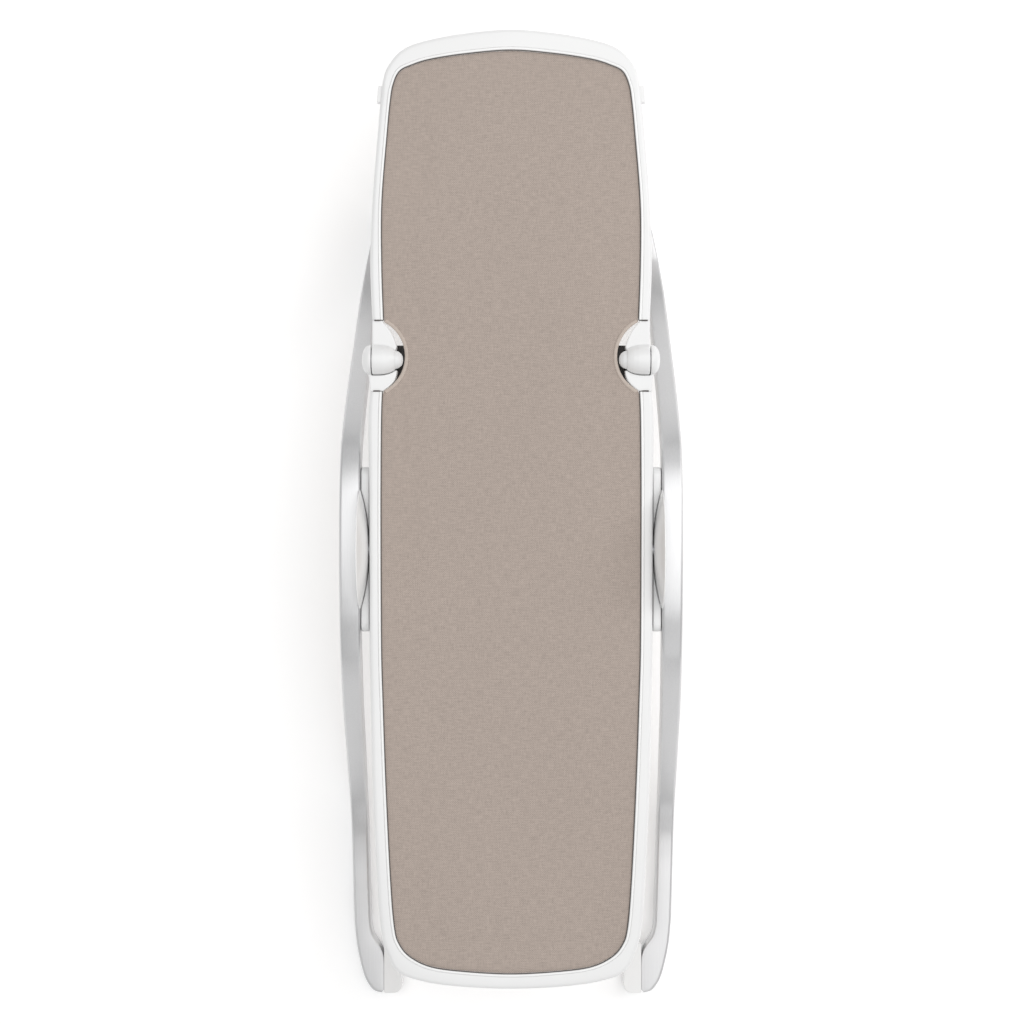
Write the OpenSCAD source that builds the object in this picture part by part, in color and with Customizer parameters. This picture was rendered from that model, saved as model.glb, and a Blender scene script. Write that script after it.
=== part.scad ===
// Baby swing: a mesh seat in a folding rail, hung on two hubs in a wave-shaped tube base.
// +Z is up, +Y points to the leg end, the floor is Z = 0, and the right side is +X.

/* [Seat] */
// Height of the top of the seat rail
seat_top = 250; // [235:1:270]
// Height of the rail section
rail_h = 28; // [22:1:32]
// Width of the lip that holds the mesh
lip_w = 2.7; // [2:0.1:4]
// Thickness of the stretched mesh
mesh_t = 3; // [2:0.5:4]
// Thickness of the foam pads under the mesh
pad_t = 10; // [6:1:14]

/* [Base] */
// Width of the bent tube at the crown of the arch
crown_w = 21; // [19:0.5:21]
// Width of the bent tube along the floor
floor_w = 18; // [16:0.5:19]
// Height of the bent tube
bar_h = 26; // [22:1:28]
// Radius of the bent tube's edges
bar_edge = 3; // [2:0.5:6]
// Thickness of the rubber soles
sole_t = 4; // [3:0.5:6]

/* [Hub] */
// Height of the swing axis
hub_z = 234; // [230:1:235]
// Radius of the domed hub cap
dome_r = 60.5; // [50:0.5:60.5]
// Radius of the swing axle
axle_r = 6; // [5:0.5:6]

/* [Fold hinge] */
// Radius of the hinge barrel
barrel_r = 15; // [13:0.5:15]
// Radius of the release button
button_r = 9.4; // [8:0.1:9.4]
// Radius of the hinge pin
pin_r = 5; // [4:0.5:6]

/* [Hidden] */

$fn = 64;
rail_z0 = seat_top - rail_h;
bar_z = sole_t + bar_h / 2;
hub_y = -16;
hinge_y = 174;
hinge_z = seat_top - 3;
mesh_z0 = seat_top - 4;
mesh_gap = 10;
run_gap = 0.05;

// Stations of the back rail from hinge to head end: outer x, outer y, inner x, inner y
back_stations = [
    [141, 142, 129, 142], [142.8, 112, 130, 112], [142, 30, 130.5, 30],
    [141.6, -106, 130, -106], [140.6, -166, 128.5, -166], [138.6, -254, 125.5, -252],
    [134.4, -343, 121, -345], [130.4, -396, 117, -394], [124.5, -419, 111.5, -412],
    [113, -439, 100, -424.5], [88, -448.5, 79, -434], [50, -453.8, 45, -438.5],
    [0, -455.8, 0, -440.8]];

// Stations of the seat rail from hinge to leg end
seat_stations = [
    [139, 214, 128, 214], [141, 270, 129.8, 270], [139, 330, 129.6, 332],
    [133.6, 400, 124.2, 402], [131, 430, 121.3, 432], [127.5, 457.7, 118.5, 449],
    [121, 471.7, 112, 462.7], [109.5, 484, 99, 469.5], [90, 492.5, 80, 475.2],
    [50, 500.5, 45, 480.6], [0, 504.8, 0, 484.2]];

// Centre line of the right arch from toe to front sleeve
arch_route = [
    [162.9, -437, bar_z], [163.8, -425, bar_z], [165, -385, bar_z], [165.9, -350, bar_z],
    [166.6, -320, bar_z + 3], [167.1, -290, bar_z + 14], [167, -262, bar_z + 37],
    [166.1, -225, bar_z + 78], [164.9, -180, hub_z - 87], [162.9, -131, hub_z - 34],
    [162.3, -106, hub_z - 16], [162, -72, hub_z - 4.5], [162, hub_y, hub_z],
    [162, 40, hub_z - 4.5], [162, 74, hub_z - 16], [161.8, 99, hub_z - 34],
    [160.6, 148, hub_z - 87], [158.8, 193, bar_z + 78], [157.4, 228, bar_z + 41],
    [155.2, 258, bar_z + 17], [150.9, 290, bar_z + 3], [147, 310, bar_z + 0.6],
    [143, 328, bar_z], [136, 346, bar_z]];

// Stations of the shoe that curls in to the toe: outer x, outer y, inner x, inner y
shoe_stations = [
    [172.2, -431, 154.2, -431], [171.4, -441, 151.5, -441], [169.4, -455, 145.8, -451],
    [166.5, -469, 141.5, -461], [163, -482, 140.5, -472], [159, -491.5, 140.5, -482],
    [152, -500.5, 140.5, -492], [143.6, -503.4, 140.5, -500]];

// Half of the front hoop, from its sleeve to the middle
hoop_route = [
    [136, 346, bar_z], [123, 370, bar_z], [101, 394, bar_z], [72, 413, bar_z],
    [37, 425, bar_z], [0, 429, bar_z]];

// Smooth curve through the keys, with n steps between each pair
function bend(a, b, c, d, t) =
    0.5 * (2 * b + (c - a) * t + (2 * a - 5 * b + 4 * c - d) * t * t
    + (3 * b - a - 3 * c + d) * t * t * t);
function spline(keys, n) = concat(
    [for (i = [0 : len(keys) - 2], j = [0 : n - 1])
        bend(keys[max(i - 1, 0)], keys[i], keys[i + 1], keys[min(i + 2, len(keys) - 1)], j / n)],
    [keys[len(keys) - 1]]);

// Both sides of a half route, mirrored at its last point
function both_sides(half, flip) = concat(half,
    [for (i = [len(half) - 2 : -1 : 0]) [for (k = [0 : len(flip) - 1]) half[i][k] * flip[k]]]);

// Outline of a rounded rectangle, centred, with three points on each corner
function round_box(w, h, r) =
    [for (c = [[1, 1, 0], [-1, 1, 90], [-1, -1, 180], [1, -1, 270]], a = [0, 45, 90])
        [c[0] * (w / 2 - r) + r * cos(c[2] + a), c[1] * (h / 2 - r) + r * sin(c[2] + a)]];

function unit(v) = v / norm(v);

// Width of the tube at a height: it widens towards the crown
function bar_width(z) = floor_w + (crown_w - floor_w) * max(z - bar_z, 0) / (hub_z - bar_z);

// Rings of the tube along a route, with its width kept level
function tube_rings(route) =
    [for (i = [0 : len(route) - 1])
        let (along = unit(route[min(i + 1, len(route) - 1)] - route[max(i - 1, 0)]),
            side = unit(cross(along, [0, 0, 1])),
            top = cross(side, along))
        [for (p = round_box(bar_width(route[i][2]), bar_h, bar_edge))
            route[i] + side * p[0] + top * p[1]]];

// Rings of a rail from its inner line moved out by inner_off to outer_off, or to its outer line
function rail_rings(stations, inner_off, outer_off, z0, z1, r) =
    [for (s = stations)
        let (inner = [s[2], s[3]], outer = [s[0], s[1]],
            out = unit(outer - inner),
            a = inner + out * inner_off,
            b = outer_off > 0 ? inner + out * outer_off : outer)
        [for (p = round_box(norm(b - a), z1 - z0, r))
            [(a[0] + b[0]) / 2 + out[0] * p[0], (a[1] + b[1]) / 2 + out[1] * p[0],
                (z0 + z1) / 2 + p[1]]]];

// Closed skin over a list of rings
module skin(rings, flip = false) {
    n = len(rings[0]);
    last = len(rings) - 1;
    points = [for (ring = rings, p = ring) p];
    sides = [for (i = [0 : last - 1], j = [0 : n - 1])
        [i * n + j, i * n + (j + 1) % n, (i + 1) * n + (j + 1) % n, (i + 1) * n + j]];
    caps = [[for (j = [n - 1 : -1 : 0]) j], [for (j = [0 : n - 1]) last * n + j]];
    faces = concat(sides, caps);
    polyhedron(points, flip ? [for (f = faces) [for (k = [len(f) - 1 : -1 : 0]) f[k]]] : faces);
}

module left() {
    mirror([1, 0, 0]) children();
}

module both() {
    children();
    mirror([1, 0, 0]) children();
}

// Cylinder along X from x0 to x1
module rod(x0, x1, r) {
    translate([x0, 0, 0]) rotate([0, 90, 0]) cylinder(h = x1 - x0, r = r);
}

// Solid turned about the X axis from [x, radius] points
module turned(profile) {
    rotate([0, 90, 0]) rotate_extrude() polygon([for (p = profile) [p[1], p[0]]]);
}

module at_hub() {
    translate([0, hub_y, hub_z]) children();
}

module at_hinge() {
    translate([0, hinge_y, hinge_z]) children();
}

// Flat plate with round corners, from its low corner to its high corner
module plate(low, high, z0, h, r) {
    translate([0, 0, z0]) linear_extrude(h) {
        translate([low[0], low[1] + r]) square([high[0] - low[0], high[1] - low[1] - 2 * r]);
        translate([low[0] + r, low[1]]) square([high[0] - low[0] - 2 * r, high[1] - low[1]]);
        for (x = [low[0] + r, high[0] - r], y = [low[1] + r, high[1] - r])
            translate([x, y]) circle(r);
    }
}

// Wire coil about the X axis
module coil(x0, x1, coil_r, wire_r, turns) {
    steps = turns * 12;
    route = [for (i = [0 : steps])
        [x0 + (x1 - x0) * i / steps, coil_r * cos(i * 30), coil_r * sin(i * 30)]];
    outline = [for (a = [0 : 60 : 300]) [wire_r * cos(a), wire_r * sin(a)]];
    rings = [for (i = [0 : steps])
        let (out = [0, cos(i * 30), sin(i * 30)])
        [for (p = outline) route[i] + out * p[0] + [1, 0, 0] * p[1]]];
    skin(rings, true);
}

// ---- Base ----
module arch() {
    color("silver") skin(tube_rings(spline(arch_route, 4)));
}

module front_hoop() {
    route = both_sides(hoop_route, [-1, 1, 1]);
    color("silver") skin(tube_rings(spline(route, 4)));
}

sleeve_wall = 2;
sleeve_half = 15;
sleeve_turn = 26;
sleeve_place = [133.7, 350.9];

module hoop_sleeves() {
    color("whitesmoke") both() translate([sleeve_place[0], sleeve_place[1], bar_z - 1])
        rotate([0, 0, sleeve_turn]) difference() {
            translate([-floor_w / 2 - sleeve_wall, -sleeve_half, 1 - bar_h / 2])
                cube([floor_w + 2 * sleeve_wall, 2 * sleeve_half, bar_h + sleeve_wall]);
            translate([-floor_w / 2 - 0.6, -sleeve_half - 1, -bar_h])
                cube([floor_w + 1.2, 2 * sleeve_half + 2, 1.5 * bar_h + 1]);
        }
}

module sleeve_screws() {
    color("dimgray") both() translate([sleeve_place[0], sleeve_place[1], sole_t + bar_h + sleeve_wall])
        rotate([0, 0, sleeve_turn]) for (y = [-8, 8]) translate([0, y, 0])
            cylinder(h = 2, r1 = 4.5, r2 = 3.2);
}

toe_in = 121;
toe_out = 140.5;
toe_y0 = -503.5;
toe_y1 = -449;

// End shoe of the tube: it curls in to the toe, flush with the tube
module toe_shoe() {
    rings = rail_rings(spline(shoe_stations, 3), 0, 0, sole_t, sole_t + bar_h, bar_edge);
    color("silver") skin(rings, true);
}

module toe_foot() {
    color("whitesmoke") {
        plate([toe_in, toe_y0], [toe_out, toe_y1], sole_t, bar_h, 9);
        plate([toe_in + 9, toe_y0], [toe_out, toe_y1], sole_t, bar_h, 0.5);
    }
}

module toe_sole() {
    color("dimgray") plate([toe_in + 2, toe_y0 + 1], [toe_out - 1, toe_y1 - 2], 0, sole_t, 5);
}

module run_sole() {
    color("dimgray") plate([158, -425], [171, -388], 0, sole_t, 4);
}

module hoop_soles() {
    color("dimgray") for (x = [-24, 24]) plate([x - 16, 420], [x + 16, 434], 0, sole_t, 4);
}

// ---- Hubs ----
dome_x = 151.6;
dome_rise = 8.7;
dome_ball = (dome_r * dome_r + dome_rise * dome_rise) / (2 * dome_rise);
dome_angle = asin(dome_r / dome_ball);

// Radius and depth of the dome grown by a gap, from its rim to its apex
function dome_profile(gap) =
    [for (i = [0 : 8])
        let (a = dome_angle * (1 - i / 8))
        [dome_x - dome_rise + dome_ball - (dome_ball + gap) * cos(a), (dome_ball + gap) * sin(a)]];

finger_x = 132.5;
finger_low = 34;
finger_high = 24;

module hub_dome() {
    color("whitesmoke") at_hub() difference() {
        union() {
            turned(concat([[dome_x + 1, 0], [dome_x + 1, dome_r]], dome_profile(0)));
            translate([finger_x, -3, -finger_low])
                cube([dome_x + 0.5 - finger_x, 6, finger_low - finger_high]);
        }
        rod(dome_x - dome_rise - 1, dome_x + 2, axle_r);
    }
}

axle_x = 134.5;
bush_x = 136.2;
rail_bore_x = 134;
bush_r = 9;

module hub_axle() {
    color("gainsboro") at_hub() difference() {
        rod(axle_x, 160, axle_r);
        turned([[axle_x + 0.4, axle_r - 1], [axle_x + 1.5, axle_r - 1], [axle_x + 1.5, axle_r + 1],
            [axle_x + 0.4, axle_r + 1]]);
    }
}

module axle_clips() {
    color("dimgray") both() at_hub() difference() {
        rod(axle_x + 0.5, axle_x + 1.4, 8.2);
        rod(axle_x, axle_x + 2, axle_r - 0.9);
    }
}

dome_gap = 0.4;
housing_x0 = 129;
cheek_x = 142.9;
housing_x1 = 151;
housing_half = 83;
housing_z0 = 180;
cheek_top = seat_top - 14;
room_r = 6.5;
spring_z = hub_z - 29;
spring_x = 136.5;

// Coil springs lie in two rooms on each side of the dome's finger
module spring_rooms(r) {
    for (side = [-1, 1]) translate([spring_x, hub_y + side * 14, spring_z])
        rotate([-90 * side, 0, 0]) cylinder(h = 50, r = r);
}

module hub_housing() {
    color("whitesmoke") difference() {
        union() {
            translate([housing_x0, 0, 0]) rotate([90, 0, 90])
                plate([hub_y - housing_half, housing_z0], [hub_y + housing_half, rail_z0 - 0.1], 0,
                    housing_x1 - housing_x0, 10);
            translate([cheek_x, 0, 0]) rotate([90, 0, 90])
                plate([hub_y - housing_half, housing_z0], [hub_y + housing_half, cheek_top], 0,
                    housing_x1 - cheek_x, 10);
        }
        at_hub() turned(concat([[housing_x1 + 9, 0], [housing_x1 + 9, dome_r + dome_gap]],
            dome_profile(dome_gap)));
        at_hub() rod(140, 152, 10);
        translate([finger_x - 1, hub_y - 15, hub_z - finger_low - 3])
            cube([20, 30, finger_low - finger_high + 7]);
        spring_rooms(room_r);
    }
}

module hub_bushes() {
    color("tan") both() at_hub() difference() {
        rod(bush_x, 141.4, bush_r);
        rod(bush_x - 1, 143, axle_r + run_gap);
    }
}

module return_springs() {
    color("gray") for (side = [-1, 1]) translate([spring_x, hub_y, spring_z])
        rotate([0, 0, 90]) coil(side > 0 ? 16 : -61, side > 0 ? 61 : -16, 5, 0.8, 6);
}

module housing_screws() {
    color("gainsboro") both() for (y = [hub_y - 65, hub_y + 65], x = [135, 144])
        translate([x, y, housing_z0]) rotate([180, 0, 0]) cylinder(h = 2, r1 = 4, r2 = 3);
}

// ---- Rails ----
lip_proud = 0.8;
rail_edge = 4.2;

// Stations of a whole U, smoothed
function u_stations(stations) = spline(both_sides(stations, [-1, 1, -1, 1]), 4);

module u_rail(stations, flip) {
    color("whitesmoke")
        skin(rail_rings(u_stations(stations), lip_w, 0, rail_z0, seat_top, rail_edge), flip);
}

// The back rail has a blind bore on each side for its bush and axle
module back_rail() {
    color("whitesmoke") difference() {
        u_rail(back_stations, true);
        both() at_hub() rod(rail_bore_x, 150, bush_r);
    }
}

module u_lip(stations, flip) {
    color("white")
        skin(rail_rings(u_stations(stations), 0, lip_w, seat_top - 14, seat_top + lip_proud, 1.2),
            flip);
}

// ---- Mesh and pads ----
notch_x = 144.5;
notch_y = 177.5;
notch_r = 39;
mesh_in = 0.3;

function inner_line(stations) =
    [for (s = u_stations(stations))
        let (inner = [s[2], s[3]], out = unit([s[0], s[1]] - inner)) inner - out * mesh_in];

// Mesh panel inside a rail, run on to a straight edge near the hinge line
module mesh_panel(stations, edge_y) {
    line = inner_line(stations);
    last = line[len(line) - 1];
    color("tan") difference() {
        translate([0, 0, mesh_z0]) linear_extrude(mesh_t)
            polygon(concat([[line[0][0], edge_y]], line, [[last[0], edge_y]]));
        for (side = [-1, 1])
            translate([side * notch_x, notch_y, mesh_z0 - 1]) cylinder(h = mesh_t + 2, r = notch_r);
    }
}

pad_z0 = mesh_z0 - pad_t;

module pad(half_w, y0, y1, r) {
    color("wheat") plate([-half_w, y0], [half_w, y1], pad_z0, pad_t, r);
}

// ---- Fold hinge ----
gap_x = 139.5;
ear_z0 = seat_top - 26;
ear_h = 25.5;
wrap_gap = 0.7;
button_x = 108;
barrel_x = 116;
button_end = 124;
button_room = 130;
pin_x = 132.5;

// Acorn-shaped side of the barrel, grown by a gap, from a low to a high end
function barrel_profile(gap, low, high) = [[low, 0], [low, 10.3 + gap], [barrel_x, 10.3 + gap],
    [119, 12.2 + gap], [122.5, 13.6 + gap], [128, 14.7 + gap], [134, barrel_r + gap],
    [high, barrel_r + gap], [high, 0]];

module lower_ear() {
    color("whitesmoke") difference() {
        union() {
            translate([0, 0, ear_z0]) linear_extrude(ear_h) polygon([[141, 142], [129.3, 142],
                [124, 145.6], [120, 149], [116.8, 153], [114.8, 158], [114, 164],
                [gap_x + 0.3, 164], [gap_x + 0.3, 172], [143, 172], [145, 165], [142.2, 156]]);
            at_hinge() turned([[gap_x + 0.3, 0], [gap_x + 0.3, barrel_r], [143, 14.6],
                [145.7, 12.6], [147.8, 9.4], [149, 5], [149.3, 0]]);
        }
        at_hinge() turned(barrel_profile(wrap_gap, 100, gap_x + 0.3));
        at_hinge() rod(gap_x, 146, pin_r);
    }
}

module hinge_barrel() {
    color("whitesmoke") difference() {
        union() {
            translate([0, 0, ear_z0]) linear_extrude(ear_h) polygon([[139, 214], [128.4, 214],
                [128.4, 212], [126, 209.6], [121.5, 204], [117, 195], [114.5, 187], [119, 174],
                [139, 174]]);
            at_hinge() turned(barrel_profile(0, barrel_x, 139));
        }
        at_hinge() rod(100, button_room, button_r + run_gap);
        at_hinge() rod(pin_x - 0.5, 140, pin_r + run_gap);
    }
}

module button() {
    color("white") at_hinge() difference() {
        turned([[button_x, 0], [button_x + 0.4, 3.4], [button_x + 1.8, 6], [button_x + 4.4, 8.2],
            [barrel_x, button_r], [button_end, button_r], [button_end, 0]]);
        rod(button_x + 5, button_end + 1, 6.5);
    }
}

module button_spring() {
    color("gray") at_hinge() coil(118.8, 129.1, 4.6, 0.7, 4);
}

module hinge_pins() {
    color("gainsboro") both() at_hinge() rod(pin_x, 146, pin_r);
}

module hinge_washers() {
    color("gainsboro") both() at_hinge() difference() {
        rod(gap_x - 0.3, gap_x + 0.3, 9);
        rod(gap_x - 1, gap_x + 1, pin_r);
    }
}

module finger_guards() {
    color("black") both() {
        plate([97, 143], [124, 190], ear_z0 - 4, 3.5, 8);
        translate([118, 152, ear_z0 - 1]) cube([5, 7, 1]);
    }
}

module ear_screws() {
    color("gainsboro") both() translate([134, 200, ear_z0])
        rotate([180, 0, 0]) cylinder(h = 2, r1 = 4, r2 = 3);
}

module side_catches() {
    color("whitesmoke") both() translate([129.6, 440, seat_top - 14]) rotate([0, 0, 5])
        translate([0, -8.5, 0]) cube([4.2, 17, 10]);
}

arch();  // right_arch
left() arch();  // left_arch
front_hoop();
hoop_sleeves();
sleeve_screws();
toe_shoe();  // right_toe_shoe
left() toe_shoe();  // left_toe_shoe
toe_foot();  // right_toe_foot
left() toe_foot();  // left_toe_foot
toe_sole();  // right_toe_sole
left() toe_sole();  // left_toe_sole
run_sole();  // right_run_sole
left() run_sole();  // left_run_sole
hoop_soles();
hub_dome();  // right_hub_dome
left() hub_dome();  // left_hub_dome
hub_axle();  // right_hub_axle
left() hub_axle();  // left_hub_axle
axle_clips();
hub_housing();  // right_hub_housing
left() hub_housing();  // left_hub_housing
hub_bushes();
return_springs();  // right_return_springs
left() return_springs();  // left_return_springs
housing_screws();
back_rail();
u_lip(back_stations, true);  // back_lip
mesh_panel(back_stations, hinge_y - mesh_gap);  // back_mesh
pad(95, -118, 142, 12);  // lumbar_pad
pad(89, -409, -209, 40);  // head_pad
lower_ear();  // right_lower_ear
left() lower_ear();  // left_lower_ear
hinge_pins();
hinge_washers();
finger_guards();
u_rail(seat_stations, false);  // seat_rail
u_lip(seat_stations, false);  // seat_lip
mesh_panel(seat_stations, hinge_y + mesh_gap);  // seat_mesh
pad(95, 206, 302, 24);  // thigh_pad
pad(85, 339, 428, 12);  // leg_pad
hinge_barrel();  // right_hinge_barrel
left() hinge_barrel();  // left_hinge_barrel
button_spring();  // right_button_spring
left() button_spring();  // left_button_spring
side_catches();
ear_screws();
button();  // right_button
left() button();  // left_button
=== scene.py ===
"""Looks of the baby swing: white rails, taupe mesh seat and satin aluminium base, around the CAD frame.
Everything is in metres, with +Z up, +Y to the leg end and the floor at Z = 0."""

import math

import bpy
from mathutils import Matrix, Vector, geometry


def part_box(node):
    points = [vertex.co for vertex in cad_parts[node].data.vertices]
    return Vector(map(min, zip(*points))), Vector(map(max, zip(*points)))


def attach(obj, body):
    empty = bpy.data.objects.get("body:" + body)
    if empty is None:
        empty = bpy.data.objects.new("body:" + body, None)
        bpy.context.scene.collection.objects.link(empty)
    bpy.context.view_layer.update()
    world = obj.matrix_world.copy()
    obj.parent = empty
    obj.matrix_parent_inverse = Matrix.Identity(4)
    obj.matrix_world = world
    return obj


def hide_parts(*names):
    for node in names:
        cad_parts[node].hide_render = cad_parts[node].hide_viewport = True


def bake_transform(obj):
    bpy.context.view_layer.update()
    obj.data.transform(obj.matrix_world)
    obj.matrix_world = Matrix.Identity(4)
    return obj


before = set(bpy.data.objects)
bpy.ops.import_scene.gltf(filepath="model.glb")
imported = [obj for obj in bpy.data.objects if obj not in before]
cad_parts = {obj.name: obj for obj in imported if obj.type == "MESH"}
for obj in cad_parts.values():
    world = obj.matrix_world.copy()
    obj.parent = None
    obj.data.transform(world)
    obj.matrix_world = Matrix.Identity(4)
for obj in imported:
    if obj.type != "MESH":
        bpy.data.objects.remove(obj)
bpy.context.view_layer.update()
MM = 0.001

# ---- Places taken from the frame ----
RAIL_LOW, RAIL_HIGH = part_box("back_rail")
RAIL_TOP = RAIL_HIGH[2]
RAIL_HEIGHT = RAIL_HIGH[2] - RAIL_LOW[2]
LIP_LOW, LIP_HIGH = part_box("back_lip")
HUB_LOW, HUB_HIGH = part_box("right_hub_axle")
HUB_Y = (HUB_LOW[1] + HUB_HIGH[1]) / 2
HUB_Z = (HUB_LOW[2] + HUB_HIGH[2]) / 2
HOOP_LOW, HOOP_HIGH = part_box("front_hoop")
BAR_Z = (HOOP_LOW[2] + HOOP_HIGH[2]) / 2
BAR_HEIGHT = HOOP_HIGH[2] - HOOP_LOW[2]
FLOOR_WIDTH = 18 * MM
CROWN_WIDTH = 21 * MM
BAR_EDGE = 3 * MM
LIP_WIDTH = 2.7 * MM

# Rail stations as in the CAD, in millimetres: outer x, outer y, inner x, inner y
BACK_STATIONS = [
    (141, 142, 129, 142), (142.8, 112, 130, 112), (142, 30, 130.5, 30),
    (141.6, -106, 130, -106), (140.6, -166, 128.5, -166), (138.6, -254, 125.5, -252),
    (134.4, -343, 121, -345), (130.4, -396, 117, -394), (124.5, -419, 111.5, -412),
    (113, -439, 100, -424.5), (88, -448.5, 79, -434), (50, -453.8, 45, -438.5),
    (0, -455.8, 0, -440.8)]
SEAT_STATIONS = [
    (139, 214, 128, 214), (141, 270, 129.8, 270), (139, 330, 129.6, 332),
    (133.6, 400, 124.2, 402), (131, 430, 121.3, 432), (127.5, 457.7, 118.5, 449),
    (121, 471.7, 112, 462.7), (109.5, 484, 99, 469.5), (90, 492.5, 80, 475.2),
    (50, 500.5, 45, 480.6), (0, 504.8, 0, 484.2)]

# Centre lines of the base tube as in the CAD, in millimetres; heights are worked out from the frame
FLOOR = BAR_Z / MM
HUB = HUB_Z / MM
ARCH_ROUTE = [
    (163.8, -425, FLOOR), (165, -385, FLOOR), (165.9, -350, FLOOR),
    (166.6, -320, FLOOR + 3), (167.1, -290, FLOOR + 14), (167, -262, FLOOR + 37),
    (166.1, -225, FLOOR + 78), (164.9, -180, HUB - 87), (162.9, -131, HUB - 34),
    (162.3, -106, HUB - 16), (162, -72, HUB - 4.5), (162, HUB_Y / MM, HUB),
    (162, 40, HUB - 4.5), (162, 74, HUB - 16), (161.8, 99, HUB - 34),
    (160.6, 148, HUB - 87), (158.8, 193, FLOOR + 78), (157.4, 228, FLOOR + 41),
    (155.2, 258, FLOOR + 17), (150.9, 290, FLOOR + 3), (147, 310, FLOOR + 0.6),
    (143, 328, FLOOR), (136, 346, FLOOR)]
SHOE_STATIONS = [
    (172.2, -431, 154.2, -431), (171.4, -441, 151.5, -441), (169.4, -455, 145.8, -451),
    (166.5, -469, 141.5, -461), (163, -482, 140.5, -472), (159, -491.5, 140.5, -482),
    (152, -500.5, 140.5, -492), (143.6, -503.4, 140.5, -500)]
HOOP_ROUTE = [
    (136, 346, FLOOR), (123, 370, FLOOR), (101, 394, FLOOR), (72, 413, FLOOR),
    (37, 425, FLOOR), (0, 429, FLOOR)]

# Notches in the mesh round the hinges
NOTCH = Vector((144.5 * MM, 177.5 * MM))
NOTCH_RADIUS = 39 * MM
NOTCH_HALF_ANGLE = math.radians(63.5)

# Foam pads under the mesh: node, body, corner radius
PADS = [("leg_pad", "seat", 0.014), ("thigh_pad", "seat", 0.026),
        ("lumbar_pad", "back", 0.014), ("head_pad", "back", 0.042)]


# ---- Curves and meshes ----
def spline(keys, steps):
    """Smooth curve through the keys, with that many steps between each pair."""
    last = len(keys) - 1
    points = []
    for i in range(last):
        a, b = keys[max(i - 1, 0)], keys[i]
        c, d = keys[i + 1], keys[min(i + 2, last)]
        for j in range(steps):
            t = j / steps
            points.append(tuple(
                0.5 * (2 * q + (r - p) * t + (2 * p - 5 * q + 4 * r - s) * t * t
                       + (3 * q - p - 3 * r + s) * t ** 3)
                for p, q, r, s in zip(a, b, c, d)))
    points.append(tuple(keys[-1]))
    return points


def both_sides(half, flip):
    """A half route and its mirror image, joined at the last point."""
    return list(half) + [tuple(v * f for v, f in zip(key, flip)) for key in reversed(half[:-1])]


def round_box(width, height, radius, steps=7, inner_radius=None):
    """Outline of a rounded rectangle about its centre; the corners on its low side may be tighter."""
    points = []
    for sx, sy, turn in ((1, 1, 0), (-1, 1, 90), (-1, -1, 180), (1, -1, 270)):
        r = inner_radius if inner_radius and sx < 0 else radius
        for k in range(steps + 1):
            a = math.radians(turn + 90 * k / steps)
            points.append((sx * (width / 2 - r) + r * math.cos(a),
                           sy * (height / 2 - r) + r * math.sin(a)))
    return points


def circle(radius, count):
    """Outline of a circle with that many points."""
    return [(radius * math.cos(2 * math.pi * k / count), radius * math.sin(2 * math.pi * k / count))
            for k in range(count)]


def add_mesh(name, points, faces, sharp=40):
    """A smooth-shaded mesh object, with its faces as given."""
    mesh = bpy.data.meshes.new(name)
    mesh.from_pydata([tuple(p) for p in points], [], faces)
    mesh.validate()
    piece = bpy.data.objects.new(name, mesh)
    bpy.context.scene.collection.objects.link(piece)
    mesh.shade_smooth()
    mesh.set_sharp_from_angle(angle=math.radians(sharp))
    return piece


def skin(name, rings, sharp=40):
    """Closed skin over rings of points, capped at both ends."""
    n = len(rings[0])
    points = [p for ring in rings for p in ring]
    faces = []
    for i in range(len(rings) - 1):
        for j in range(n):
            k = (j + 1) % n
            faces.append((i * n + j, i * n + k, (i + 1) * n + k, (i + 1) * n + j))
    faces.append(tuple(range(n - 1, -1, -1)))
    faces.append(tuple((len(rings) - 1) * n + j for j in range(n)))
    piece = add_mesh(name, points, faces, sharp)
    outward(piece)
    return piece


def outward(piece):
    """Turns every face outward, by the sign of the mesh's volume."""
    mesh = piece.data
    volume = 0
    for face in mesh.polygons:
        a = mesh.vertices[face.vertices[0]].co
        for k in range(1, len(face.vertices) - 1):
            b = mesh.vertices[face.vertices[k]].co
            c = mesh.vertices[face.vertices[k + 1]].co
            volume += a.dot(b.cross(c))
    if volume < 0:
        mesh.flip_normals()


def bar_section(height):
    """Outline of the base tube at a height: it widens towards the crown of the arch."""
    t = max(height - BAR_Z, 0) / (HUB_Z - BAR_Z)
    return round_box(FLOOR_WIDTH + (CROWN_WIDTH - FLOOR_WIDTH) * t, BAR_HEIGHT, BAR_EDGE, steps=8)


def tube_rings(route, outline=None):
    """Rings along a route in metres, with their width kept level; the base tube's if no outline is given."""
    route = [Vector(p) for p in route]
    rings = []
    for i, centre in enumerate(route):
        along = (route[min(i + 1, len(route) - 1)] - route[max(i - 1, 0)]).normalized()
        side = along.cross(Vector((0, 0, 1))).normalized()
        top = side.cross(along)
        section = outline or bar_section(centre.z)
        rings.append([centre + side * u + top * v for u, v in section])
    return rings


def u_stations(stations, steps=14):
    """Outer and inner points in metres of a whole U-shaped rail."""
    keys = both_sides(stations, (-1, 1, -1, 1))
    return [(Vector(s[:2]) * MM, Vector(s[2:]) * MM) for s in spline(keys, steps)]


def rail_rings(stations, inner_off, outer_off, low, high, radius, inner_radius=None):
    """Rings of a rail between the inner line moved out by inner_off and outer_off, or the outer line."""
    rings = []
    for outer, inner in u_stations(stations):
        out = (outer - inner).normalized()
        a = inner + out * inner_off
        b = inner + out * outer_off if outer_off else outer
        centre = (a + b) / 2
        section = round_box((b - a).length, high - low, radius, inner_radius=inner_radius)
        rings.append([(centre.x + out.x * u, centre.y + out.y * u, (low + high) / 2 + v)
                      for u, v in section])
    return rings


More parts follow.
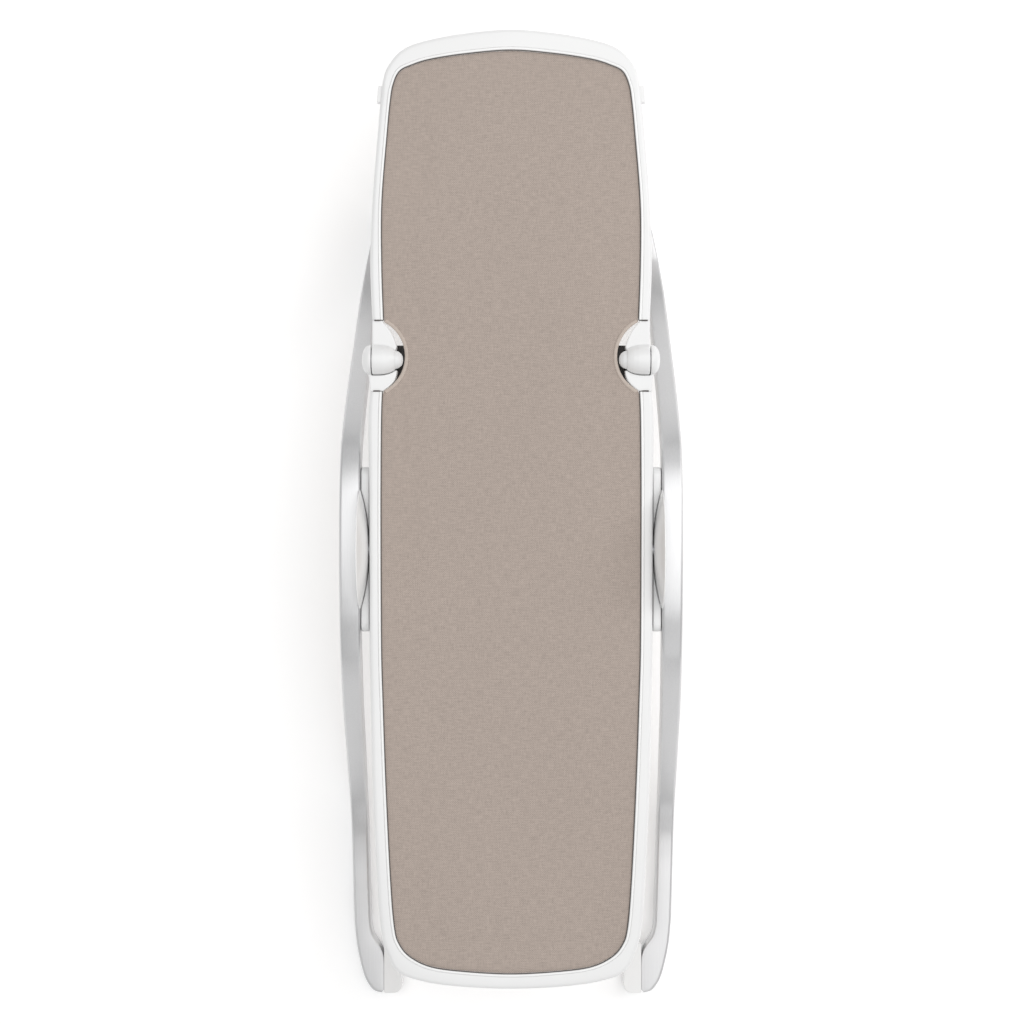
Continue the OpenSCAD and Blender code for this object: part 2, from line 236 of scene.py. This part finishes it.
def soften(node, name, voxel, passes):
    """A copy of a CAD node with moulded, rounded edges, which stands for that node."""
    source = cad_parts[node]
    mesh = source.data.copy()
    piece = bpy.data.objects.new(name, mesh)
    bpy.context.scene.collection.objects.link(piece)
    remesh = piece.modifiers.new("moulding", "REMESH")
    remesh.mode = "VOXEL"
    remesh.voxel_size = voxel
    smooth = piece.modifiers.new("edges", "SMOOTH")
    smooth.factor = 0.5
    smooth.iterations = passes
    bpy.context.view_layer.update()
    final = bpy.data.meshes.new_from_object(piece.evaluated_get(bpy.context.evaluated_depsgraph_get()))
    piece.modifiers.clear()
    piece.data = final
    final.shade_smooth()
    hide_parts(node)
    return piece


# ---- Materials ----
class Shader:
    """A material and short calls for its nodes."""

    def __init__(self, name, color, roughness, metallic=0.0):
        self.material = bpy.data.materials.new(name)
        self.material.use_nodes = True
        self.tree = self.material.node_tree
        self.bsdf = self.tree.nodes["Principled BSDF"]
        self.bsdf.inputs["Base Color"].default_value = (*color, 1)
        self.bsdf.inputs["Roughness"].default_value = roughness
        self.bsdf.inputs["Metallic"].default_value = metallic

    def node(self, kind, **values):
        made = self.tree.nodes.new(kind)
        for key, value in values.items():
            setattr(made, key, value)
        return made

    def link(self, out, socket):
        self.tree.links.new(out, socket)

    def place(self, scale):
        """The object's own coordinates in metres, times scale on each axis."""
        coords = self.node("ShaderNodeTexCoord")
        mapping = self.node("ShaderNodeMapping")
        mapping.inputs["Scale"].default_value = scale
        self.link(coords.outputs["Object"], mapping.inputs["Vector"])
        return mapping.outputs["Vector"]

    def noise(self, scale, detail=3.0, strength=0.5):
        """Noise with that many cells a metre on each axis."""
        made = self.node("ShaderNodeTexNoise")
        made.inputs["Scale"].default_value = 1
        made.inputs["Detail"].default_value = detail
        made.inputs["Roughness"].default_value = strength
        self.link(self.place(scale), made.inputs["Vector"])
        return made.outputs["Fac"]

    def math(self, operation, a, b=0.0):
        made = self.node("ShaderNodeMath", operation=operation)
        for value, socket in ((a, made.inputs[0]), (b, made.inputs[1])):
            if isinstance(value, (int, float)):
                socket.default_value = value
            else:
                self.link(value, socket)
        return made.outputs[0]

    def ramp(self, value, low, high, at=(0.3, 0.7)):
        """A colour between low and high, as value goes through the two places."""
        made = self.node("ShaderNodeValToRGB")
        for stop, place, color in zip(made.color_ramp.elements, at, (low, high)):
            stop.position = place
            stop.color = (*color, 1)
        self.link(value, made.inputs["Fac"])
        return made.outputs["Color"]

    def spread(self, value, low, high):
        """value from 0 to 1 spread between low and high."""
        made = self.node("ShaderNodeMapRange")
        made.inputs["To Min"].default_value = low
        made.inputs["To Max"].default_value = high
        self.link(value, made.inputs["Value"])
        return made.outputs["Result"]

    def bump(self, height, depth, strength=0.5):
        made = self.node("ShaderNodeBump")
        made.inputs["Strength"].default_value = strength
        made.inputs["Distance"].default_value = depth
        self.link(height, made.inputs["Height"])
        self.link(made.outputs["Normal"], self.bsdf.inputs["Normal"])


def moulded(name, color, roughness, shade=0.97, grain=1400):
    """White moulded plastic with a very fine grain and slight tone drift."""
    s = Shader(name, color, roughness)
    low = tuple(c * shade for c in color)
    s.link(s.ramp(s.noise((9, 9, 9)), low, color), s.bsdf.inputs["Base Color"])
    fine = s.noise((grain, grain, grain), detail=2)
    s.link(s.spread(fine, roughness - 0.04, roughness + 0.08), s.bsdf.inputs["Roughness"])
    s.bump(fine, 0.05 * MM, 0.25)
    s.bsdf.inputs["Coat Weight"].default_value = 0.12
    s.bsdf.inputs["Coat Roughness"].default_value = 0.25
    return s.material


def anodised():
    """Satin anodised tube: fine lines drawn along its length."""
    color = (0.68, 0.68, 0.685)
    s = Shader("anodised_tube", color, 0.42, metallic=0.92)
    lines = s.noise((1500, 18, 700), detail=4)
    drift = s.noise((14, 5, 14), detail=2)
    tone = s.math("ADD", s.math("MULTIPLY", lines, 0.7), s.math("MULTIPLY", drift, 0.3))
    s.link(s.ramp(tone, (0.64, 0.64, 0.645), (0.71, 0.71, 0.715)), s.bsdf.inputs["Base Color"])
    s.link(s.spread(lines, 0.36, 0.50), s.bsdf.inputs["Roughness"])
    s.bump(lines, 0.03 * MM, 0.2)
    return s.material


def woven(name, thread, gap, pitch):
    """Plain weave of round threads: over and under along X and Y, with uneven yarn."""
    s = Shader(name, thread, 0.82)
    split = s.node("ShaderNodeSeparateXYZ")
    s.link(s.place((1, 1, 1)), split.inputs["Vector"])
    waves = 2 * math.pi / pitch
    across = s.math("SINE", s.math("MULTIPLY", split.outputs["X"], waves))
    along = s.math("SINE", s.math("MULTIPLY", split.outputs["Y"], waves))
    weave = s.math("MULTIPLY", across, along)
    weft = s.noise((110, 900, 40), detail=3, strength=0.6)
    warp = s.noise((900, 110, 40), detail=3, strength=0.6)
    cloud = s.noise((7, 4, 7), detail=3)
    yarn = s.math("ADD", s.math("MULTIPLY", weft, 0.52), s.math("MULTIPLY", warp, 0.40))
    yarn = s.math("ADD", yarn, s.math("MULTIPLY", cloud, 0.08))
    tone = s.math("ADD", yarn, s.math("MULTIPLY", weave, 0.14))
    s.link(s.ramp(tone, gap, thread, at=(0.32, 0.66)), s.bsdf.inputs["Base Color"])
    height = s.math("ADD", s.math("MULTIPLY", weave, 0.7), s.math("MULTIPLY", yarn, 0.5))
    s.bump(height, 0.25 * MM, 0.45)
    s.bsdf.inputs["Sheen Weight"].default_value = 0.15
    s.bsdf.inputs["Sheen Roughness"].default_value = 0.5
    return s.material


def ground_steel():
    """Zinc plated steel with turning marks."""
    s = Shader("zinc_steel", (0.62, 0.62, 0.64), 0.35, metallic=1.0)
    marks = s.noise((900, 900, 900), detail=3)
    s.link(s.spread(marks, 0.25, 0.5), s.bsdf.inputs["Roughness"])
    s.bump(marks, 0.03 * MM, 0.3)
    return s.material


def rubber():
    """Dark matt rubber with a pebbled skin."""
    s = Shader("sole_rubber", (0.035, 0.035, 0.037), 0.75)
    pebbles = s.noise((800, 800, 800), detail=2)
    s.link(s.ramp(pebbles, (0.025, 0.025, 0.027), (0.05, 0.05, 0.052)), s.bsdf.inputs["Base Color"])
    s.bump(pebbles, 0.2 * MM, 0.5)
    return s.material


def bronze():
    """Sintered bronze with fine pores."""
    s = Shader("sintered_bronze", (0.55, 0.40, 0.22), 0.45, metallic=1.0)
    pores = s.noise((1800, 1800, 1800), detail=2)
    s.link(s.ramp(pores, (0.42, 0.30, 0.16), (0.60, 0.45, 0.26)), s.bsdf.inputs["Base Color"])
    s.bump(pores, 0.05 * MM, 0.4)
    return s.material


WHITE = moulded("white_shell", (0.83, 0.83, 0.828), 0.30)
LIP_WHITE = moulded("lip_white", (0.90, 0.90, 0.895), 0.22, shade=0.985)
BUTTON_WHITE = moulded("button_white", (0.80, 0.80, 0.80), 0.42, grain=2600)
# Dark cord colour: painted shadow for the shade line between the lip and the mesh.
SHADOW_CORD_DARK = moulded("shadow_cord_dark", (0.10, 0.09, 0.085), 0.6, shade=0.8)
# Near black for the finger guards: painted shade for the dark cavity beside each hinge nose.
NOTCH_SHADE_BLACK = moulded("notch_shade_black", (0.018, 0.017, 0.017), 0.55, shade=0.7)
TUBE = anodised()
MESH = woven("taupe_mesh", (0.478, 0.399, 0.349), (0.327, 0.273, 0.239), 2.2 * MM)
HEM = woven("taupe_hem", (0.58, 0.50, 0.44), (0.46, 0.39, 0.34), 1.6 * MM)
FOAM = woven("pad_cloth", (0.56, 0.49, 0.43), (0.44, 0.38, 0.33), 1.2 * MM)
STEEL = ground_steel()
RUBBER = rubber()
BRONZE = bronze()


def paint(piece, material):
    """Gives a piece one material."""
    piece.data.materials.clear()
    piece.data.materials.append(material)


def paint_node(node, material):
    """Gives a CAD node that stays in view a better material."""
    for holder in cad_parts[node].material_slots:
        holder.material = material


# ---- Rails and lips ----
RAIL_EDGE = 4.2 * MM
LIP_EDGE = 1.2 * MM
TIGHT_EDGE = 0.8 * MM


def build_rails():
    """Each section's rail with its lip, and the dark cord between the lip and the mesh, which paints the
    shadow line in that gap.
    """
    low = RAIL_TOP - RAIL_HEIGHT
    for body, stations in (("back", BACK_STATIONS), ("seat", SEAT_STATIONS)):
        rings = rail_rings(stations, LIP_WIDTH, 0, low, RAIL_TOP, RAIL_EDGE, TIGHT_EDGE)
        rail = skin(body + "_rail_shell", rings)
        paint(rail, WHITE)
        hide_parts(body + "_rail")
        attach(rail, body)
        rings = rail_rings(stations, 0, LIP_WIDTH, LIP_LOW[2], LIP_HIGH[2], LIP_EDGE)
        lip = skin(body + "_lip_bead", rings)
        paint(lip, LIP_WHITE)
        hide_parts(body + "_lip")
        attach(lip, body)
        build_shadow_cord(body, stations)


SHADOW_CORD_RADIUS = 0.75 * MM
SHADOW_CORD_TAIL = 9 * MM
SHADOW_CORD_INSET = 0.3 * MM
SHADOW_CORD_DEPTH = 0.8 * MM
SHADOW_CORD_PROUD = 0.1 * MM
SEAM_HALF = 0.7 * MM


def build_shadow_cord(body, stations):
    """Dark cord laid along the mesh's edge in the gap below the lip: painted shadow that stands for the
    shade line in that gap; its ends turn out through the seam.
    """
    line = []
    for outer, inner in u_stations(stations, 10):
        line.append(inner - (outer - inner).normalized() * SHADOW_CORD_INSET)
    height = RAIL_TOP - SHADOW_CORD_DEPTH
    route = [(p.x, p.y, height) for p in line]
    seam = SEAM_HALF * (1 if body == "back" else -1)
    tails = []
    for p in (line[0], line[-1]):
        side = math.copysign(1, p.x)
        tails.append([(p.x + side * SHADOW_CORD_TAIL * k, p.y + seam, RAIL_TOP + SHADOW_CORD_PROUD)
                      for k in (1.0, 0.4)])
    route = tails[0] + route + tails[1][::-1]
    shadow_cord = skin(body + "_keder", tube_rings(route, circle(SHADOW_CORD_RADIUS, 10)))
    # Painted shadow: the dark cord stands for the shade in the gap between the lip and the mesh.
    paint(shadow_cord, SHADOW_CORD_DARK)
    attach(shadow_cord, body)


# ---- Base tubes ----
SHOE_TIGHT_Y = -462 * MM
SHOE_EASE = 25 * MM


def smooth_step(t):
    """Goes smoothly from 0 to 1 as t does."""
    t = min(max(t, 0), 1)
    return t * t * (3 - 2 * t)


def shoe_rings():
    """Rings of the right toe shoe, from its tip to the tube; its edge is tight where the foot joins."""
    rings = []
    for station in reversed(spline(SHOE_STATIONS, 8)):
        outer, inner = Vector(station[:2]) * MM, Vector(station[2:]) * MM
        centre = (outer + inner) / 2
        out = (outer - inner).normalized()
        t = smooth_step((centre.y - SHOE_TIGHT_Y) / SHOE_EASE)
        section = round_box((outer - inner).length, BAR_HEIGHT, BAR_EDGE, 8,
                            TIGHT_EDGE + (BAR_EDGE - TIGHT_EDGE) * t)
        rings.append([Vector((centre.x + out.x * u, centre.y + out.y * u, BAR_Z + v))
                      for u, v in section])
    return rings


def build_tubes():
    """The two arches, each with its toe shoe in one skin, and the front hoop."""
    route = [Vector(p) * MM for p in spline(ARCH_ROUTE, 12)]
    right = shoe_rings() + tube_rings(route)
    for side, mirror in (("right", 1), ("left", -1)):
        rings = [[Vector((p.x * mirror, p.y, p.z)) for p in ring] for ring in right]
        tube = skin(side + "_arch_tube", rings)
        paint(tube, TUBE)
        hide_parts(side + "_arch", side + "_toe_shoe")
        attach(tube, "base")
    route = [Vector(p) * MM for p in spline(both_sides(HOOP_ROUTE, (-1, 1, 1)), 12)]
    hoop = skin("front_hoop_tube", tube_rings(route))
    paint(hoop, TUBE)
    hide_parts("front_hoop")
    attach(hoop, "base")


# ---- Moulded parts: node, body, voxel in millimetres, smoothing passes ----
MOULDED = [
    ("hoop_sleeves", "base", 0.7, 4), ("right_toe_foot", "base", 0.6, 7),
    ("left_toe_foot", "base", 0.6, 7), ("right_hub_dome", "base", 0.8, 4),
    ("left_hub_dome", "base", 0.8, 4), ("right_hub_housing", "back", 0.8, 6),
    ("left_hub_housing", "back", 0.8, 6), ("right_lower_ear", "back", 0.45, 30),
    ("left_lower_ear", "back", 0.45, 30), ("right_hinge_barrel", "seat", 0.45, 30),
    ("left_hinge_barrel", "seat", 0.45, 30), ("side_catches", "seat", 0.35, 6)]
BUTTON_VOXEL = 0.3 * MM
BUTTON_PASSES = 5


def build_moulded():
    """Softened copies of the moulded CAD nodes; domes and feet get the brighter lip white as painted light,
    which makes up for the light that their steep and low faces lose.
    """
    for node, body, voxel, passes in MOULDED:
        piece = soften(node, node + "_moulded", voxel * MM, passes)
        # Painted light: domes and feet take the brighter lip white to lift faces that catch little light.
        paint(piece, LIP_WHITE if "dome" in node or "foot" in node else WHITE)
        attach(piece, body)
    for side in ("right", "left"):
        piece = soften(side + "_button", side + "_button_cap", BUTTON_VOXEL, BUTTON_PASSES)
        paint(piece, BUTTON_WHITE)
        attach(piece, side + "_button")


# ---- Mesh seat ----
SHEET_TOP = RAIL_TOP - 1.4 * MM
SHEET_THICK = 1.2 * MM
SHEET_SAG = 1.0 * MM
PAD_SHOW = 0.8 * MM
SHEET_INSET = 1.0 * MM
SHEET_HALF = 130 * MM
PAD_BLEND = 7 * MM
GRID = 5 * MM
GRID_CLEAR = 0.6 * GRID
NOTCH_STEPS = 40


def notch_arc(side, radius, count, ends=NOTCH_HALF_ANGLE):
    """Points on a notch's edge, from the back section to the seat section."""
    points = []
    for k in range(count + 1):
        a = -ends + 2 * ends * k / count
        points.append(Vector((side * (NOTCH.x - radius * math.cos(a)),
                              NOTCH.y + radius * math.sin(a))))
    return points


def sheet_outline():
    """The mesh's edge: down the back rail, round both notches and the seat rail."""
    back = [inner - (outer - inner).normalized() * SHEET_INSET
            for outer, inner in u_stations(BACK_STATIONS, 8)]
    seat = [inner - (outer - inner).normalized() * SHEET_INSET
            for outer, inner in u_stations(SEAT_STATIONS, 8)]
    right = notch_arc(1, NOTCH_RADIUS, NOTCH_STEPS)
    left = notch_arc(-1, NOTCH_RADIUS, NOTCH_STEPS)
    back = [p for p in back if p.y < right[0].y - MM]
    seat = [p for p in seat if p.y > right[-1].y + MM]
    return right + seat + left[::-1] + back[::-1]


def inside_depth(p, low, high, radius):
    """How far a point lies inside a rounded rectangle; negative outside."""
    dx = max(low[0] + radius - p.x, p.x - (high[0] - radius), 0)
    dy = max(low[1] + radius - p.y, p.y - (high[1] - radius), 0)
    if dx > 0 and dy > 0:
        return radius - math.hypot(dx, dy)
    return min(p.x - low[0], high[0] - p.x, p.y - low[1], high[1] - p.y)


def sheet_height(p):
    """Stretched height: a slight sag between the rails, and the pads showing through."""
    across = min(abs(p.x) / SHEET_HALF, 1)
    height = SHEET_TOP - SHEET_SAG * (1 - across ** 2)
    for node, body, radius in PADS:
        low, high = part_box(node)
        height += PAD_SHOW * smooth_step(inside_depth(p, low, high, radius) / PAD_BLEND)
    return height


def sharpen_rim(mesh):
    """Keeps the shading of a flat panel from bending at its rim."""
    uses = {}
    for face in mesh.polygons:
        for key in face.edge_keys:
            uses[key] = uses.get(key, 0) + 1
    for edge in mesh.edges:
        if uses[edge.key] == 1:
            edge.use_edge_sharp = True


def build_sheet():
    """The one mesh sheet of both sections, with a rolled hem in each notch."""
    outline = sheet_outline()
    low = Vector((min(p.x for p in outline), min(p.y for p in outline)))
    high = Vector((max(p.x for p in outline), max(p.y for p in outline)))
    points = list(outline)
    for i in range(int((high.x - low.x) / GRID) + 1):
        for j in range(int((high.y - low.y) / GRID) + 1):
            p = Vector((low.x + (i + 0.5) * GRID, low.y + (j + 0.5) * GRID))
            if min((p - q).length_squared for q in outline) > GRID_CLEAR ** 2:
                points.append(p)
    flat = geometry.delaunay_2d_cdt(points, [], [list(range(len(outline)))], 1, 1e-7)
    used = sorted({k for face in flat[2] for k in face})
    number = {k: n for n, k in enumerate(used)}
    spots = [(flat[0][k].x, flat[0][k].y, sheet_height(flat[0][k])) for k in used]
    faces = [tuple(number[k] for k in face) for face in flat[2]]
    sheet = add_mesh("mesh_seat", spots, faces, sharp=60)
    sharpen_rim(sheet.data)
    solid = sheet.modifiers.new("thickness", "SOLIDIFY")
    solid.thickness = SHEET_THICK
    solid.offset = -1
    paint(sheet, MESH)
    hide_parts("back_mesh", "seat_mesh")
    hems = [build_hem(side, name) for side, name in ((1, "right_notch_hem"), (-1, "left_notch_hem"))]
    for piece in [sheet] + hems:
        fold_across(piece)


HEM_RADIUS = 1.9 * MM
HEM_FLATTEN = 0.75
HEM_OUT = 0.6
HEM_SINK = 0.3 * MM
HEM_END = 0.02


def build_hem(side, name):
    """Rolled hem along a notch."""
    arc = notch_arc(side, NOTCH_RADIUS + HEM_RADIUS * HEM_OUT, 48, NOTCH_HALF_ANGLE - HEM_END)
    route = [(p.x, p.y, SHEET_TOP - HEM_SINK) for p in arc]
    hem = skin(name, tube_rings(route, [(u, v * HEM_FLATTEN) for u, v in circle(HEM_RADIUS, 14)]))
    paint(hem, HEM)
    return hem


def fold_across(piece):
    """Bakes the piece's placement into its mesh."""
    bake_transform(piece)


# ---- Foam pads ----
PAD_EDGE = 9 * MM
PAD_TRIM = 0.2 * MM
PAD_ROWS = 26


def build_pad(node, body, corner):
    """A thin foam pad with a soft rolled edge and sewn cross channels."""
    low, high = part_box(node)
    middle = (Vector(low) + Vector(high)) / 2
    size = Vector(high) - Vector(low)
    rows = []
    top = size.z / 2 - PAD_TRIM
    insets = [PAD_EDGE * (1 - math.cos(math.radians(a))) for a in range(0, 91, 15)]
    lifts = [top * math.sin(math.radians(a)) for a in range(0, 91, 15)]
    for inset, lift in zip(insets, lifts):
        rows.append((inset, lift))
    for k in range(1, PAD_ROWS):
        rows.append((PAD_EDGE + (min(size.x, size.y) / 2 - PAD_EDGE) * k / PAD_ROWS, top))
    upper = [pad_ring(middle, size, corner, inset, lift, 1) for inset, lift in rows]
    lower = [pad_ring(middle, size, corner, inset, lift, -1) for inset, lift in rows[1:]]
    pad = skin(node + "_foam", lower[::-1] + upper, sharp=80)
    paint(pad, FOAM)
    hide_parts(node)
    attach(pad, body)


CHANNEL_PITCH = 46 * MM
CHANNEL_DEPTH = 1.6 * MM
CHANNEL_SHARPNESS = 24
MIN_CORNER = 1 * MM
CORNER_STEPS = 6


def pad_ring(middle, size, corner, inset, lift, face):
    """One ring of a pad's surface, inset from its edge; channels run across it."""
    width = max(size.x - 2 * inset, 2 * MM)
    length = max(size.y - 2 * inset, 2 * MM)
    radius = min(max(corner - inset, MIN_CORNER), width / 2.01, length / 2.01)
    ring = []
    for u, v in dense_box(width, length, radius):
        wave = math.cos(math.pi * v / CHANNEL_PITCH) ** CHANNEL_SHARPNESS
        sewn = CHANNEL_DEPTH * wave * smooth_step(inset / PAD_EDGE) if face < 0 else 0
        ring.append((middle.x + u, middle.y + v, middle.z + face * (lift - sewn)))
    return ring


def dense_box(width, length, radius, side_steps=40):
    """A rounded rectangle with its straight sides divided, always with the same count."""
    corners = round_box(width, length, radius, CORNER_STEPS)
    points = []
    for i, p in enumerate(corners):
        points.append(p)
        if i % (CORNER_STEPS + 1) == CORNER_STEPS:
            q = corners[(i + 1) % len(corners)]
            for k in range(1, side_steps):
                t = k / side_steps
                points.append((p[0] + (q[0] - p[0]) * t, p[1] + (q[1] - p[1]) * t))
    return points


# ---- CAD nodes that stay in view ----
def finish_nodes():
    """Better materials for the metal and rubber nodes, and near black for the guard nodes as painted shade
    in the hinge notches.
    """
    for node in ("sleeve_screws", "right_hub_axle", "left_hub_axle", "axle_clips", "housing_screws",
                 "hinge_pins", "hinge_washers", "ear_screws", "right_return_springs",
                 "left_return_springs", "right_button_spring", "left_button_spring"):
        paint_node(node, STEEL)
    for node in ("right_toe_sole", "left_toe_sole", "right_run_sole", "left_run_sole", "hoop_soles"):
        paint_node(node, RUBBER)
    paint_node("hub_bushes", BRONZE)
    # Painted shade: the guards are painted near black to stand for the shadow in the hinge notch.
    paint_node("finger_guards", NOTCH_SHADE_BLACK)


# ---- Camera, floor and light ----
CAMERA_OVER = 2.4
VIEW_SPAN = 1.024
VIEW_X = 0.001
VIEW_Y = 0.0217
CAMERA_X = 0.020
SENSOR = 36.0


def add_camera():
    """Looks straight down on the seat, with the leg end up; one millimetre is one thousandth of the view."""
    data = bpy.data.cameras.new("photo_camera")
    data.sensor_width = SENSOR
    data.lens = SENSOR * CAMERA_OVER / VIEW_SPAN
    data.shift_x = (VIEW_X - CAMERA_X) / VIEW_SPAN
    camera = bpy.data.objects.new("photo_camera", data)
    camera.location = (CAMERA_X, VIEW_Y, RAIL_TOP + CAMERA_OVER)
    bpy.context.scene.collection.objects.link(camera)
    bpy.context.scene.camera = camera


FLOOR_GLOW = 0.24
FLOOR_HALF = 8


def add_floor():
    """A pale floor with a little light of its own, so that it reads as white paper."""
    corners = [(x * FLOOR_HALF, y * FLOOR_HALF, 0) for x, y in ((-1, -1), (1, -1), (1, 1), (-1, 1))]
    floor = add_mesh("floor", corners, [(0, 1, 2, 3)])
    s = Shader("pale_floor", (0.93, 0.93, 0.93), 0.9)
    s.link(s.ramp(s.noise((3, 3, 3)), (0.925, 0.925, 0.925), (0.935, 0.935, 0.935)),
           s.bsdf.inputs["Base Color"])
    s.bsdf.inputs["Emission Color"].default_value = (1, 1, 1, 1)
    s.bsdf.inputs["Emission Strength"].default_value = FLOOR_GLOW
    floor.data.materials.append(s.material)


# Square soft lights: name, place, side, watts, turn when it faces straight down
LIGHTS = [
    ("top_box", (0.75, 0.75, 3.6), 4.0, 70, math.radians(45)),
    ("right_box", (2.6, 1.2, 1.8), 1.8, 19, None),
    ("left_fill", (-2.6, -0.6, 1.6), 1.6, 5, None),
    ("rear_fill", (0.6, -3.2, 2.1), 1.6, 6, None)]
LIGHT_AIM = Vector((0, 0, 0.2))
WORLD_LIGHT = 0.53


def add_light(name, place, size, power, turn):
    """A square soft light that faces the middle of the seat, or straight down at a turn."""
    data = bpy.data.lights.new(name, "AREA")
    data.size = size
    data.energy = power
    lamp = bpy.data.objects.new(name, data)
    lamp.location = place
    aim = LIGHT_AIM - Vector(place)
    lamp.rotation_euler = aim.to_track_quat("-Z", "Y").to_euler() if turn is None else (0, 0, turn)
    bpy.context.scene.collection.objects.link(lamp)


def add_lights():
    """The soft lights and an even white surround, shown without a film look."""
    for light in LIGHTS:
        add_light(*light)
    world = bpy.data.worlds.new("studio")
    world.use_nodes = True
    background = world.node_tree.nodes["Background"]
    background.inputs["Color"].default_value = (1, 1, 1, 1)
    background.inputs["Strength"].default_value = WORLD_LIGHT
    bpy.context.scene.world = world
    bpy.context.scene.view_settings.view_transform = "Standard"


add_camera()
build_rails()
build_tubes()
build_moulded()
build_sheet()
for pad in PADS:
    build_pad(*pad)
finish_nodes()
add_floor()
add_lights()
